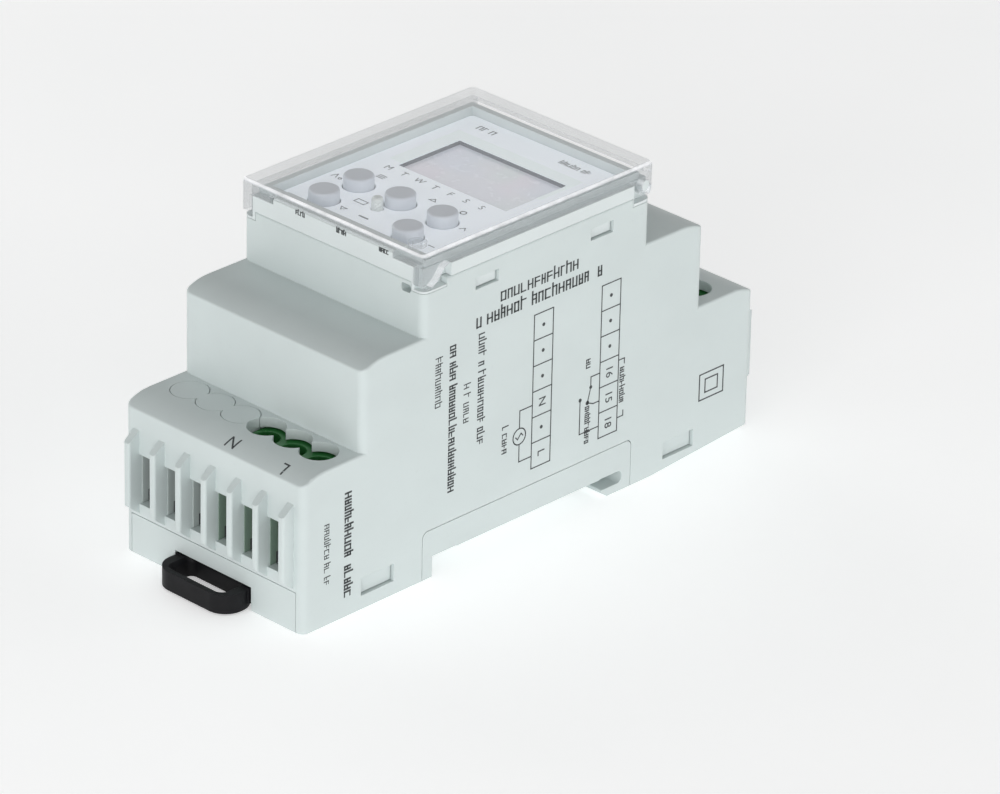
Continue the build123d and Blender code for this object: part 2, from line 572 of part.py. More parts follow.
def make_relay():
    low = BOARD_Z[1]
    x0, x1 = RELAY_X - RELAY_HALF_X, RELAY_X + RELAY_HALF_X
    with BuildPart() as case:
        block((x0, x1), RELAY_Y, (low + 0.05, RELAY_TOP))
        fillet(case.edges().filter_by(Axis.Z), 0.6)
        block((x0 + 0.6, x1 - 0.6), (RELAY_Y[0] + 0.6, RELAY_Y[1] - 0.6), (low - 1, RELAY_TOP - 0.6),
              Mode.SUBTRACT)
    save(case, "relay_case")

    with BuildPart() as plinth:
        block((x0 + 0.7, x1 - 0.7), (RELAY_Y[0] + 0.7, RELAY_Y[1] - 0.7), (low + 0.1, low + 1.4))
    save(plinth, "relay_base")

    floor = low + 1.4
    with BuildPart() as yoke:
        block((RELAY_X - 4.0, RELAY_X + 4.0), (PIVOT_Y - 0.6, -0.6), (floor, floor + 1.0))
        block((RELAY_X - 4.0, RELAY_X + 4.0), (PIVOT_Y - 0.6, PIVOT_Y + 0.6), (floor, PIVOT_Z - 0.5))
        with Locations(Location((RELAY_X, PIVOT_Y, PIVOT_Z - 0.5), (0, 90, 0))):
            Cylinder(0.5, 8.0)
    save(yoke, "relay_yoke")

    with BuildPart() as coil:
        at = (RELAY_X, -5.6)
        rod(at, (floor + 1.0, floor + 1.8), 4.9)
        rod(at, (floor + 1.8, 17.2), 4.3)
        rod(at, (17.2, 18.0), 4.9)
        rod(at, (18.0, 18.7), 2.4)
    save(coil, "relay_coil")

    with BuildPart() as armature:
        block((RELAY_X - 4.0, RELAY_X + 4.0), (PIVOT_Y - 0.8, -0.8), (PIVOT_Z + 0.1, PIVOT_Z + 1.0))
    save(armature, "relay_armature")

    with BuildPart() as blade:
        block((RELAY_X - 1.5, RELAY_X + 1.5), (-4.0, 10.5), (PIVOT_Z + 1.0, PIVOT_Z + 1.3))
        rod((RELAY_X, 9.0), (PIVOT_Z + 0.4, PIVOT_Z + 1.9), 1.2)
    save(blade, "relay_moving_contact")

    with BuildPart() as fixed:
        block((RELAY_X - 1.5, RELAY_X + 1.5), (7.0, 11.6), (PIVOT_Z - 1.8, PIVOT_Z - 1.4))
        rod((RELAY_X, 9.0), (PIVOT_Z - 1.4, PIVOT_Z - 0.85), 1.2)
        block((RELAY_X - 1.5, RELAY_X + 1.5), (11.2, 11.6), (floor, PIVOT_Z - 1.4))
        block((RELAY_X - 4.4, RELAY_X - 1.6), (11.2, 11.6), (floor, PIVOT_Z + 2.4))
        block((RELAY_X - 4.4, RELAY_X + 1.5), (7.0, 11.6), (PIVOT_Z + 2.05, PIVOT_Z + 2.4))
    save(fixed, "relay_fixed_contacts")


def end_span(end, near, far):
    """Y limits of a stretch measured outwards from the rail, at the lower or the upper end."""
    return tuple(sorted((end * near, end * far)))


def make_terminals():
    for end, where, marks in ((-1, "front", ("n", "spare", "l")), (1, "rear", ("16", "15", "18"))):
        with BuildPart() as body:
            block((0.0, 3 * PITCH), end_span(end, BLOCK_Y0, BLOCK_Y1), (BOARD_Z[1] + 0.05, BLOCK_TOP_Z))
            for pole in LIVE_POLES:
                x = pole * PITCH
                block((x - 1.95, x + 1.95), end_span(end, BLOCK_Y0 + 0.5, 40.4), (BOARD_Z[1] - 1, 14.3),
                      Mode.SUBTRACT)
                block((x - 1.8, x + 1.8), end_span(end, 40, BLOCK_Y1 + 1), (7.6, 12.6), Mode.SUBTRACT)
                rod((x, end * SCREW_Y), (14.6, BLOCK_TOP_Z + 1), 1.95, Mode.SUBTRACT)
                rod((x, end * SCREW_Y), (14.0, 15.0), 1.5, Mode.SUBTRACT)
        save(body, f"{where}_terminal_block")

        with BuildPart() as bars:
            for pole in LIVE_POLES:
                x = pole * PITCH
                block((x - 1.0, x + 1.0), end_span(end, 33.85, 40.0), (10.0, 10.7))
                block((x - 0.6, x + 0.6), end_span(end, 33.85, 34.4), (BOARD_Z[0] - 1.2, 10.2))
        save(bars, f"{where}_contact_bars")

        for pole, mark in zip(LIVE_POLES, marks):
            at = (pole * PITCH, end * SCREW_Y)
            with BuildPart() as screw:
                rod(at, HEAD_Z, 1.8)
                rod(at, (10.9, HEAD_Z[0]), SHANK_R)
                block((at[0] - 2, at[0] + 2), (at[1] - 0.25, at[1] + 0.25),
                      (HEAD_Z[1] - 0.8, HEAD_Z[1] + 1), Mode.SUBTRACT)
                block((at[0] - 0.25, at[0] + 0.25), (at[1] - 1.2, at[1] + 1.2),
                      (HEAD_Z[1] - 0.8, HEAD_Z[1] + 1), Mode.SUBTRACT)
            save(screw, f"terminal_screw_{mark}")
            with BuildPart() as cage:
                block((at[0] - 1.86, at[0] + 1.86), end_span(end, 34.6, 40.2), CAGE_Z)
                block((at[0] - 1.42, at[0] + 1.42), end_span(end, 34, 41), (CAGE_Z[0] + 0.6, CAGE_Z[1] - 0.6),
                      Mode.SUBTRACT)
                rod(at, (CAGE_Z[1] - 1, CAGE_Z[1] + 1), SHANK_R + 0.03, Mode.SUBTRACT)
            save(cage, f"clamp_cage_{mark}")

        with BuildPart() as plug:
            with BuildSketch(Plane.XY.offset(SHELF_Z)):
                with Locations((0, end * SCREW_Y)):
                    screw_openings(BLANK_POLES, HOLE_D - 0.16)
            extrude(amount=-1.6)
            block((-15.6, -0.3), end_span(end, 34.3, 40.6), (SHELF_Z - 2.6, SHELF_Z - 1.55))
            rod((0.5 * PITCH, end * SCREW_Y), (SHELF_Z - 4, SHELF_Z + 1), HOLE_D / 2 + 0.08, Mode.SUBTRACT)
        save(plug, f"{where}_blanking_plug")


def main():
    os.makedirs("parts", exist_ok=True)
    make_housing()
    make_base()
    make_rail_clip()
    make_clip_spring()
    make_fascia()
    make_label()
    make_cover()
    make_keys()
    make_display_electronics()
    make_power_electronics()
    make_relay()
    make_terminals()


main()
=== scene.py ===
"""Looks for the two-module din rail timer: finishes, print, small moulded details, studio and camera.

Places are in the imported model's frame: X is the width, +Y the upper end, +Z points out of the panel.
Lengths are in millimetres where a name or a call says so, and are turned into metres by MM.
"""

import math
import random

import bmesh
import bpy
from mathutils import Matrix, Quaternion, Vector


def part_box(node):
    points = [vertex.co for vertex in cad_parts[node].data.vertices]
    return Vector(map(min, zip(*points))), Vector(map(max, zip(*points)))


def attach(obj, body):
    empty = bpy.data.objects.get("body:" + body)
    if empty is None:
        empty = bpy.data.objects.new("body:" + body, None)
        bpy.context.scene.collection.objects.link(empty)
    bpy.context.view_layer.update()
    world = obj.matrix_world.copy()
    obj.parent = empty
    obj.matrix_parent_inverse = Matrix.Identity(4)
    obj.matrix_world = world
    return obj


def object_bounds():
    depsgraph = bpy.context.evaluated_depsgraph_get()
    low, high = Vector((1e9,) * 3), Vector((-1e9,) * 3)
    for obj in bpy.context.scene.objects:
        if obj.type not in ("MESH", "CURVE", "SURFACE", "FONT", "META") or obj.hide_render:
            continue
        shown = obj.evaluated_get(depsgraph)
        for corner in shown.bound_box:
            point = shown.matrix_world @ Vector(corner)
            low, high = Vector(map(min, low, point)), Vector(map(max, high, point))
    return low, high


MM = 0.001
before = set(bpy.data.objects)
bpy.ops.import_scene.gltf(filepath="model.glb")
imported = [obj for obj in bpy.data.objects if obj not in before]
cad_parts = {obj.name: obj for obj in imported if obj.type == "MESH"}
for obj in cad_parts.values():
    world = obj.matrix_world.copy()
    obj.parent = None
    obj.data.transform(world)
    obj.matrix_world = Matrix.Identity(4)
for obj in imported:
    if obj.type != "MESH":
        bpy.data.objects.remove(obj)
cad_low, cad_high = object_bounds()

# Camera
AZIMUTH = 43.79
ELEVATION = 26.62
ROLL = 1.28
LENS = 242.8
DISTANCE = 0.9587
AIM = Vector((1.58, 9.68, 8.66)) * MM

# Ink on the mouldings
INK_SUNK = 0.02
INK_PROUD = 0.03
HAIRLINE = 0.16
CAP_HEIGHT = 0.69       # of the built-in font, as a share of its size

# Print on the right-hand side
SIDE_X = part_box("housing")[1].x

# Filler rows that run down that side: place along Y, top and bottom in Z, letter height, stroke, seed
RATING_ROWS = (
    (-11.5, 31.4, 13.2, 1.35, 0.2, 11),
    (-14.3, 24.6, 17.8, 1.25, 0.15, 12),
    (-17.1, 31.4, 8.0, 1.35, 0.24, 17),
    (-19.9, 31.0, 22.9, 1.25, 0.15, 14),
    (-6.5, 15.3, 9.9, 1.1, 0.17, 15),
    (17.2, 16.5, 10.6, 1.0, 0.17, 16),
    (10.2, 20.1, 18.2, 1.0, 0.17, 21),
    (10.2, 12.7, 6.4, 1.0, 0.17, 22),
    (-37.0, 15.9, -0.8, 1.45, 0.28, 18),
    (-40.9, 12.4, 2.8, 1.1, 0.14, 19),
)

# Connection diagram on the right-hand side: six boxes for each end's terminals
BOX_TOP = 30.7
BOX_H = 3.98
BOX_W = 3.8
BOX_COLUMNS = (-0.6, 13.0)
BOX_MARKS = (("", "", "", "N", "", "L"), ("", "", "", "16", "15", "18"))

# Terminals, as in the CAD
PITCH = 5.1
POLES = (-2.5, -1.5, -0.5, 0.5, 1.5, 2.5)
SCREW_Y = 37.3
PLUG_R = 2.76
SLOT_HALF = 1.975
SLOT_Z = (5.0, 12.7)
# Thin sheets of painted shade that darken the wire slots' walls; they are not in the CAD.
SHADE_SHEET_T = 0.12
SHADE_SHEET_Y = 43.3
SHADE_SHEET_DEPTH = 2.4

# Front panel
WINDOW_X = (-10.3, 10.7)
WINDOW_Y = (0.5, 12.7)
DAY_ROW_Y = -1.25
DAY_X = (-10.5, 7.7)

# Studio: brightness of the surroundings by height of direction, from the horizon up
SKY = ((0.0, 0.72), (0.1, 0.7), (0.55, 0.62), (0.68, 0.06))
FLOOR_HALF = 3.0
LAMP_DISTANCE = 0.9
LAMP_HEIGHT = 0.5
LAMPS = (               # name, azimuth, elevation, width in metres, watts
    ("key_lamp", 30, 10, 0.7, 3.5),
    ("side_lamp", 120, 10, 0.7, 1.6),
    ("top_lamp", 45, 75, 0.7, 0.9),
    ("rear_lamp", 262, 12, 0.5, 1.5),
)


class Recipe:
    """A material being made: its node tree, and short ways to add the nodes that most finishes share."""

    def __init__(self, name):
        self.material = bpy.data.materials.new(name)
        self.material.use_nodes = True
        self.tree = self.material.node_tree
        self.tree.nodes.clear()
        self.output = self.node("OutputMaterial")
        self.shader = self.node("BsdfPrincipled")
        self.link(self.shader.outputs[0], self.output.inputs[0])
        self.place = self.node("TexCoord").outputs["Object"]

    def node(self, kind, **settings):
        made = self.tree.nodes.new("ShaderNode" + kind)
        for name, value in settings.items():
            setattr(made, name, value)
        return made

    def link(self, source, target):
        self.tree.links.new(source, target)

    def set(self, **numbers):
        """Plain numbers on the shader's own sockets, named with underscores for spaces."""
        for name, value in numbers.items():
            self.shader.inputs[name.replace("_", " ")].default_value = value

    def stretched(self, scale):
        """The object's coordinates, stretched along each axis."""
        mapping = self.node("Mapping")
        mapping.inputs["Scale"].default_value = scale
        self.link(self.place, mapping.inputs["Vector"])
        return mapping.outputs[0]

    def noise(self, size_mm, detail=3.0, stretch=None):
        """Noise from 0 to 1 whose blotches are about size_mm across."""
        texture = self.node("TexNoise")
        texture.inputs["Scale"].default_value = 1 / (size_mm * MM)
        texture.inputs["Detail"].default_value = detail
        self.link(self.stretched(stretch) if stretch else self.place, texture.inputs["Vector"])
        return texture.outputs[0]

    def spread(self, source, low, high, start=0.3, end=0.7):
        """The source's start to end, turned into low to high."""
        mapped = self.node("MapRange")
        for socket, value in zip(mapped.inputs[1:5], (start, end, low, high)):
            socket.default_value = value
        self.link(source, mapped.inputs[0])
        return mapped.outputs[0]

    def math(self, operation, a, b):
        made = self.node("Math", operation=operation)
        for socket, value in zip(made.inputs, (a, b)):
            if isinstance(value, (int, float)):
                socket.default_value = value
            else:
                self.link(value, socket)
        return made.outputs[0]

    def mix(self, factor, a, b):
        """Colour a where factor is 0, and b where it is 1. Either may be a plain colour."""
        made = self.node("Mix", data_type="RGBA")
        self.link(factor, made.inputs[0])
        for socket, value in zip((made.inputs[6], made.inputs[7]), (a, b)):
            if isinstance(value, tuple):
                socket.default_value = (*value, 1)
            else:
                self.link(value, socket)
        return made.outputs[2]

    def edges(self, radius_mm, break_mm=1.6):
        """1 along edges, broken up so that it is uneven: rubbed wear on most finishes, and a painted
        highlight on the clear cover.
        """
        bevel = self.node("Bevel", samples=4)
        bevel.inputs["Radius"].default_value = radius_mm * MM
        turn = self.node("VectorMath", operation="DOT_PRODUCT")
        self.link(bevel.outputs[0], turn.inputs[0])
        self.link(self.node("NewGeometry").outputs["Normal"], turn.inputs[1])
        rubbed = self.spread(turn.outputs["Value"], 1.0, 0.0, start=0.8, end=0.99)
        return self.math("MULTIPLY", rubbed, self.spread(self.noise(break_mm, 4), 0.25, 1.0))

    def bump(self, height, depth_mm, rounding_mm=0.0):
        """Bumps depth_mm deep on the shader's normal, over edges that look rounded by rounding_mm."""
        bump = self.node("Bump")
        bump.inputs["Strength"].default_value = 1.0
        bump.inputs["Distance"].default_value = depth_mm * MM
        self.link(height, bump.inputs["Height"])
        if rounding_mm:
            bevel = self.node("Bevel", samples=4)
            bevel.inputs["Radius"].default_value = rounding_mm * MM
            self.link(bevel.outputs[0], bump.inputs["Normal"])
        self.link(bump.outputs[0], self.shader.inputs["Normal"])

    def finish(self, colour, rough):
        self.link(colour, self.shader.inputs["Base Color"])
        self.link(rough, self.shader.inputs["Roughness"])
        return self.material


def shade(colour, factor):
    return tuple(min(1.0, c * factor) for c in colour)


def turns(count):
    return [2 * math.pi * i / count for i in range(count)]


def direction(azimuth, elevation):
    """From the object towards a viewer. Azimuth 0 is in front, at -Y, and 90 is at +X."""
    a, e = math.radians(azimuth), math.radians(elevation)
    return Vector((math.sin(a) * math.cos(e), -math.cos(a) * math.cos(e), math.sin(e)))


def plastic(name, colour, rough=0.45, grain_mm=0.22, depth_mm=0.004, wear=1.12, coat=0.0, shine=0.5):
    """Moulded plastic: fine spark-eroded grain, slow flow marks, and edges rubbed paler and smoother."""
    m = Recipe(name)
    flow = m.noise(11, 3, stretch=(1.0, 0.55, 1.0))
    grain = m.noise(grain_mm, 2)
    rubbed = m.edges(0.3)
    toned = m.mix(m.spread(flow, 0.0, 1.0), shade(colour, 0.965), shade(colour, 1.02))
    specked = m.mix(m.spread(m.noise(0.5, 5), 0.0, 0.35, 0.62, 0.78), toned, shade(colour, 0.9))
    worn = m.mix(rubbed, specked, shade(colour, wear))
    cloudy = m.spread(m.noise(2.6, 5), rough - 0.05, rough + 0.07)
    uneven = m.math("ADD", cloudy, m.math("MULTIPLY", rubbed, -0.09))
    m.bump(grain, depth_mm, rounding_mm=0.14)
    m.set(Coat_Weight=coat, Coat_Roughness=0.12, Specular_IOR_Level=shine)
    return m.finish(worn, uneven)


def label_film(name, colour):
    """Bright satin film: a fine dot screen under a smooth lacquer, with faint streaks, and a slight glow of
    painted light that brightens it.
    """
    m = Recipe(name)
    screen = m.node("TexVoronoi")
    screen.inputs["Scale"].default_value = 1 / (0.28 * MM)
    m.link(m.place, screen.inputs["Vector"])
    dots = m.spread(screen.outputs[0], 0.0, 0.5, 0.1, 0.6)
    dotted = m.mix(dots, shade(colour, 0.985), shade(colour, 1.015))
    greener = (colour[0] * 0.96, colour[1] * 0.99, colour[2] * 0.975)
    cloud = m.mix(m.spread(m.noise(9, 3), 0.0, 1.0), dotted, greener)
    worn = m.mix(m.edges(0.2), cloud, shade(colour, 1.1))
    m.bump(m.noise(0.6, 4), 0.002, rounding_mm=0.08)
    # The emission is painted light: the film glows a little, though it is no lamp.
    m.set(Coat_Weight=0.25, Coat_Roughness=0.18, Emission_Color=(0.88, 0.93, 1.0, 1), Emission_Strength=0.36)
    return m.finish(worn, m.spread(m.noise(3.0, 5, stretch=(1, 3, 1)), 0.3, 0.44))


def display_glass(name, colour):
    """A blank display: pale lilac polariser under clear glass, clouded faintly pink, green and blue as a
    painted iridescent sheen, with a slight painted glow.
    """
    m = Recipe(name)
    # The pink, green and blue tints are painted sheen in place of the polariser's iridescence.
    pink = (colour[0] * 1.05, colour[1] * 0.97, colour[2] * 0.99)
    green = (colour[0] * 0.94, colour[1] * 1.04, colour[2] * 0.95)
    blue = (colour[0] * 0.93, colour[1] * 0.99, colour[2] * 1.06)
    warm = m.mix(m.spread(m.noise(9, 0.0), 0.0, 1.0, 0.4, 0.62), colour, pink)
    cool = m.mix(m.spread(m.noise(8, 0.0, stretch=(1.3, 0.8, 1)), 0.0, 0.9, 0.48, 0.64), warm, green)
    clouded = m.mix(m.spread(m.noise(10, 0.0, stretch=(0.7, 1.2, 1)), 0.0, 0.8, 0.5, 0.66), cool, blue)
    m.bump(m.noise(6, 1.0), 0.002)
    # The emission is painted light: a slight glow that brightens the display.
    m.set(Coat_Weight=1.0, Coat_Roughness=0.04, Emission_Color=(0.92, 0.94, 1.0, 1), Emission_Strength=0.22)
    return m.finish(clouded, m.spread(m.noise(1.5, 4), 0.2, 0.3))


def clear_plastic(name):
    """Thin clear polycarbonate: see-through and glossy at a slant, with painted grey shade on its upright
    walls and painted highlights that make its edges opaque, pale and glowing.
    """
    m = Recipe(name)
    slant = m.node("LayerWeight")
    slant.inputs[0].default_value = 0.5
    glossy = m.math("ADD", m.math("MULTIPLY", m.math("POWER", slant.outputs["Facing"], 4.0), 0.7), 0.04)
    facing = m.node("SeparateXYZ")
    m.link(m.node("TexCoord").outputs["Normal"], facing.inputs[0])
    upright = m.math("ABSOLUTE", facing.outputs[2], 0.0)
    above = m.spread(facing.outputs[2], 0.0, 1.0, 0.1, 0.3)
    rounded = m.math("MINIMUM", above, m.spread(upright, 1.0, 0.0, 0.9, 0.985))
    # Painted highlight: the rounded and sharp rims of the cover are made opaque and pale, and glow through
    # the emission below.
    moulded = m.math("MAXIMUM", rounded, m.edges(0.35, 2.4))
    edge = m.math("MULTIPLY", moulded, m.spread(m.noise(2.2, 4), 0.62, 0.92))
    # Painted shade: upright walls are made more opaque and are tinted grey below.
    walls = m.spread(upright, 0.2, 0.0, 0.3, 0.8)
    scuffs = m.spread(m.noise(0.35, 6, stretch=(1, 0.12, 1)), 0.0, 0.05, 0.68, 0.8)
    cover = m.math("MAXIMUM", m.math("ADD", m.math("ADD", glossy, walls), scuffs), edge)
    m.link(cover, m.shader.inputs["Alpha"])
    m.link(m.spread(edge, 0.75, 0.0, 0.05, 0.4), m.shader.inputs["Metallic"])
    # Painted light: the rims glow pale grey though the cover is no lamp.
    m.link(m.mix(edge, (0.0, 0.0, 0.0), (0.3, 0.3, 0.31)), m.shader.inputs["Emission Color"])
    m.set(Emission_Strength=1.0)
    clear = m.node("BsdfTransparent")
    both = m.node("MixShader")
    m.link(m.node("LightPath").outputs["Is Shadow Ray"], both.inputs[0])
    m.link(m.shader.outputs[0], both.inputs[1])
    m.link(clear.outputs[0], both.inputs[2])
    m.link(both.outputs[0], m.output.inputs[0])
    m.bump(m.noise(9, 1.0), 0.003)
    tone = m.mix(m.spread(m.noise(9, 3), 0.0, 1.0), (0.93, 0.94, 0.95), (0.9, 0.92, 0.935))
    return m.finish(
        m.mix(m.spread(walls, 0.0, 1.0, 0.05, 0.2), tone, (0.42, 0.45, 0.47)),
        m.math("ADD", m.spread(m.noise(5, 4), 0.02, 0.07), m.math("MULTIPLY", edge, 0.25)),
    )


def milky_plastic(name, colour):
    """A cloudy light guide: pale, a little see-through, glossy, and swirled inside."""
    m = Recipe(name)
    swirl = m.mix(m.spread(m.noise(1.1, 3), 0.0, 1.0), colour, shade(colour, 1.14))
    worn = m.mix(m.edges(0.25), swirl, shade(colour, 1.2))
    m.bump(m.noise(0.5, 3), 0.004, rounding_mm=0.12)
    m.set(Coat_Weight=0.8, Coat_Roughness=0.08, Transmission_Weight=0.2, IOR=1.49)
    return m.finish(worn, m.spread(m.noise(0.9, 4), 0.22, 0.36))


def metal(name, colour, rough, brush=(1.0, 1.0, 14.0), tarnish=None):
    """Plated or drawn metal: brushed streaks, cloudy plating and brighter rubbed edges."""
    m = Recipe(name)
    streaks = m.noise(0.7, 4, stretch=brush)
    dull = tarnish or shade(colour, 0.72)
    clouded = m.mix(m.spread(m.noise(1.9, 5), 0.0, 0.8, 0.42, 0.68), colour, dull)
    worn = m.mix(m.edges(0.2, 0.9), clouded, shade(colour, 1.18))
    m.bump(streaks, 0.003, rounding_mm=0.08)
    m.set(Metallic=1.0)
    return m.finish(worn, m.spread(streaks, rough - 0.08, rough + 0.12))


def circuit_board(name):
    """Green solder mask: tracks showing as paler ridges, glass-weave texture and tinned pads."""
    m = Recipe(name)
    tracks = m.node("TexBrick", offset=0.37, squash=0.6, squash_frequency=3)
    tracks.inputs["Scale"].default_value = 1 / (3.4 * MM)
    tracks.inputs["Mortar Size"].default_value = 0.055
    m.link(m.place, tracks.inputs["Vector"])
    weave = m.node("TexChecker")
    weave.inputs["Scale"].default_value = 1 / (0.45 * MM)
    m.link(m.place, weave.inputs["Vector"])
    pads = m.node("TexVoronoi")
    pads.inputs["Scale"].default_value = 1 / (3.9 * MM)
    m.link(m.place, pads.inputs["Vector"])
    mask = m.mix(m.spread(weave.outputs[1], 0.0, 0.25, 0, 1), (0.012, 0.11, 0.04), (0.016, 0.13, 0.05))
    tracked = m.mix(tracks.outputs[1], mask, (0.03, 0.24, 0.09))
    tinned = m.mix(m.spread(pads.outputs[0], 1.0, 0.0, 0.13, 0.15), tracked, (0.6, 0.6, 0.57))
    m.bump(tracks.outputs[1], 0.03, rounding_mm=0.05)
    m.set(Coat_Weight=0.5, Coat_Roughness=0.1)
    return m.finish(tinned, m.spread(m.noise(1.2, 4), 0.28, 0.42))


def winding(name):
    """Enamelled copper wire, wound in close turns."""
    m = Recipe(name)
    turns = m.node("TexWave", wave_type="BANDS", bands_direction="Z", wave_profile="SIN")
    turns.inputs["Scale"].default_value = 1 / (0.9 * MM)
    turns.inputs["Distortion"].default_value = 0.4
    m.link(m.place, turns.inputs["Vector"])
    colour = m.mix(turns.outputs[1], (0.2, 0.07, 0.03), (0.62, 0.3, 0.13))
    m.bump(turns.outputs[1], 0.06)
    m.set(Metallic=0.8, Coat_Weight=0.6, Coat_Roughness=0.1)
    uneven = m.mix(m.spread(m.noise(2, 4), 0, 0.5), colour, (0.4, 0.18, 0.08))
    return m.finish(uneven, m.spread(m.noise(0.8, 3), 0.25, 0.4))


def banded(name, body, band, pitch_mm, share, direction, rough=0.3):
    """Lacquered or sleeved component with printed bands of a second colour."""
    m = Recipe(name)
    bands = m.node("TexWave", wave_type="BANDS", bands_direction=direction, wave_profile="SAW")
    bands.inputs["Scale"].default_value = 1 / (3.3 * pitch_mm * MM)
    m.link(m.place, bands.inputs["Vector"])
    printed = m.mix(m.spread(bands.outputs[1], 0.0, 1.0, 1 - share, 1.02 - share), body, band)
    colour = m.mix(m.spread(m.noise(1.5, 4), 0.0, 0.4), printed, shade(body, 0.8))
    worn = m.mix(m.edges(0.25), colour, shade(body, 1.3))
    m.bump(m.noise(0.8, 4), 0.02, rounding_mm=0.1)
    m.set(Coat_Weight=0.3, Coat_Roughness=0.15)
    return m.finish(worn, m.spread(m.noise(1.1, 4), rough - 0.06, rough + 0.1))


def ink(name, colour):
    """Pad-printed ink: a thin film, slightly starved in places."""
    m = Recipe(name)
    starved = m.spread(m.noise(0.25, 4), 0.0, 0.5, 0.5, 0.8)
    m.bump(m.noise(0.12, 2), 0.004)
    return m.finish(m.mix(starved, colour, shade(colour, 2.2)), m.spread(m.noise(0.6, 3), 0.5, 0.7))


FINISHES = {
    "housing_plastic": plastic("housing_finish", (0.62, 0.685, 0.68), 0.46),
    "fascia_plastic": plastic("fascia_finish", (0.69, 0.745, 0.745), 0.42),
    "label_film": label_film("label_finish", (0.83, 0.86, 0.9)),
    "clear_plastic": clear_plastic("clear_finish"),
    "clear_lens": milky_plastic("lens_finish", (0.82, 0.86, 0.84)),
    "black_plastic": plastic("black_finish", (0.006, 0.006, 0.0075), 0.5, wear=2.6, shine=0.2),
    "white_plastic": plastic("white_finish", (0.72, 0.72, 0.71), 0.4),
    "key_plastic": plastic("key_finish", (0.7, 0.735, 0.79), 0.42, grain_mm=0.16, wear=1.08),
    "spring_steel": metal("spring_finish", (0.5, 0.5, 0.49), 0.3, brush=(6.0, 1.0, 1.0)),
    "plated_steel": metal("plated_finish", (0.66, 0.66, 0.63), 0.32, tarnish=(0.5, 0.48, 0.42)),
    "contact_copper": metal("contact_finish", (0.72, 0.52, 0.3), 0.28, brush=(1.0, 8.0, 1.0)),
    "display_glass": display_glass("display_finish", (0.74, 0.75, 0.82)),
    "strip_rubber": plastic("strip_finish", (0.5, 0.5, 0.53), 0.7, wear=1.05),
    "board_green": circuit_board("board_finish"),
    "terminal_green": plastic("terminal_finish", (0.032, 0.19, 0.048), 0.32, wear=1.5, coat=0.15),
    "capacitor_red": plastic("capacitor_finish", (0.36, 0.05, 0.03), 0.3, wear=1.3, coat=0.3),
    "sleeve_black": banded("sleeve_finish", (0.02, 0.02, 0.035), (0.3, 0.31, 0.34), 8.8, 0.18, "X"),
    "varistor_blue": plastic("varistor_finish", (0.04, 0.1, 0.28), 0.3, depth_mm=0.02, wear=1.4, coat=0.4),
    "resistor_body": banded("resistor_finish", (0.24, 0.4, 0.45), (0.12, 0.05, 0.03), 2.6, 0.3, "X"),
    "relay_blue": plastic("relay_finish", (0.05, 0.09, 0.2), 0.28, wear=1.5, coat=0.2),
    "coil_copper": winding("coil_finish"),
}
# Dark print, also used for painted shade beside the blanking plugs and at the foot of each wire slot.
DARK_INK_AND_SHADE = ink("dark_ink_and_shade", (0.05, 0.056, 0.058))
GREY_INK = ink("grey_ink", (0.27, 0.29, 0.3))
# The border takes the label's finish, painted glow included.
BORDER_INK = label_film("border_ink", (0.74, 0.81, 0.78))
# Painted shade for the wire slots' walls: grey for the blank poles, greener for the live ones.
BLANK_SHADE_SHEET = plastic("blank_shade_sheet", (0.45, 0.5, 0.49), 0.6)
LIVE_SHADE_SHEET = plastic("live_shade_sheet", (0.2, 0.28, 0.225), 0.5)
# Dark sheet of painted shade for the display window's rear and left walls.
WINDOW_WALL_SHADE = plastic("window_wall_shade_finish", (0.2, 0.215, 0.24), 0.6, wear=1.2)


def dress_nodes():
    """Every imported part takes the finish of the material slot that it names."""
    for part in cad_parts.values():
        for place in part.material_slots:
            place.material = FINISHES[place.material.name.split(".")[0]]


def add_piece(name, mesh, finish, body):
    """A finished mesh as a piece that rides on a body. mesh is a bmesh in metres, and is used up."""
    bmesh.ops.recalc_face_normals(mesh, faces=mesh.faces)
    data = bpy.data.meshes.new(name)
    mesh.to_mesh(data)
    mesh.free()
    data.materials.append(finish)
    piece = bpy.data.objects.new(name, data)
    bpy.context.scene.collection.objects.link(piece)
    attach(piece, body)
    return piece


def block(mesh, middle, size):
    """A box of this size, in millimetres, added to the mesh."""
    place = Matrix.Translation(Vector(middle) * MM) @ Matrix.Diagonal((*(Vector(size) * MM), 1))
    bmesh.ops.create_cube(mesh, size=1, matrix=place)


